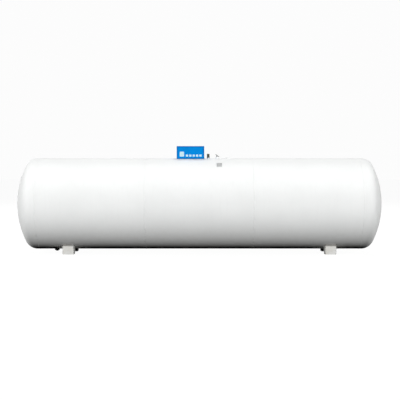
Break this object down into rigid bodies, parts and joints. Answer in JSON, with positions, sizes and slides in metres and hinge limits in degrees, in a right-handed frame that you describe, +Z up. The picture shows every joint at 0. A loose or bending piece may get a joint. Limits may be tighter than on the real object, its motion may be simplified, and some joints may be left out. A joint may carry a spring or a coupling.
{
  "type": "horizontal pressure tank",
  "caption": "Above-ground horizontal steel pressure tank for liquefied gas: welded shell with dished ends on channel legs, valves on top, hinged blue hood.",
  "frame": {"origin": "on the ground, under the middle of the vessel", "axes": "+X along the vessel to its right-hand end as seen from the front, -Y towards the front with the data plate, +Z up"},
  "size_m": [4.177, 1.041, 1.2274],
  "materials": {
    "shell_paint": "satin white paint",
    "leg_paint": "dusty white paint",
    "hood_paint": "gloss blue paint",
    "hardware": "zinc-plated",
    "valve_brass": "dull forged brass",
    "wheel_paint": "red enamel",
    "gauge_casting": "die cast",
    "dial_plastic": "clear over a white dial",
    "cap_plastic": "weathered grey",
    "plug_iron": "oiled black",
    "plate_steel": "brushed stainless"
  },
  "bodies": {
    "tank": {"shell_left": "shell_paint", "shell_middle": "shell_paint", "shell_right": "shell_paint", "head_left": "shell_paint", "head_right": "shell_paint", "leg_front_left": "leg_paint", "leg_front_right": "leg_paint", "leg_rear_left": "leg_paint", "leg_rear_right": "leg_paint", "curb_front": "shell_paint", "curb_rear": "shell_paint", "curb_left": "shell_paint", "curb_right": "shell_paint", "hinge_bracket_left": "shell_paint", "hinge_bracket_right": "shell_paint", "hinge_pin": "hardware", "filler_coupling": "shell_paint", "filler_valve": "valve_brass", "filler_cap": "cap_plastic", "service_coupling": "shell_paint", "service_valve": "valve_brass", "service_handwheel": "wheel_paint", "gauge_flange": "shell_paint", "gauge_head": "gauge_casting", "gauge_dial": "dial_plastic", "vapour_coupling": "shell_paint", "vapour_valve": "valve_brass", "vapour_cap": "valve_brass", "relief_coupling": "shell_paint", "relief_valve": "shell_paint", "relief_cap": "cap_plastic", "spare_coupling": "shell_paint", "spare_plug": "shell_paint", "drain_coupling": "plug_iron", "drain_plug": "plug_iron", "plate_bracket": "shell_paint", "data_plate": "plate_steel"},
    "hood": {"hood_cover": "hood_paint", "hood_lug_left": "hood_paint", "hood_lug_right": "hood_paint"}
  },
  "joints": [
    {"name": "hood_hinge", "type": "hinge", "parent": "tank", "child": "hood", "pos_m": [-0.103, 0.126, 1.08851], "axis": [-1, 0, 0], "range_deg": [0, 115]}
  ]
}
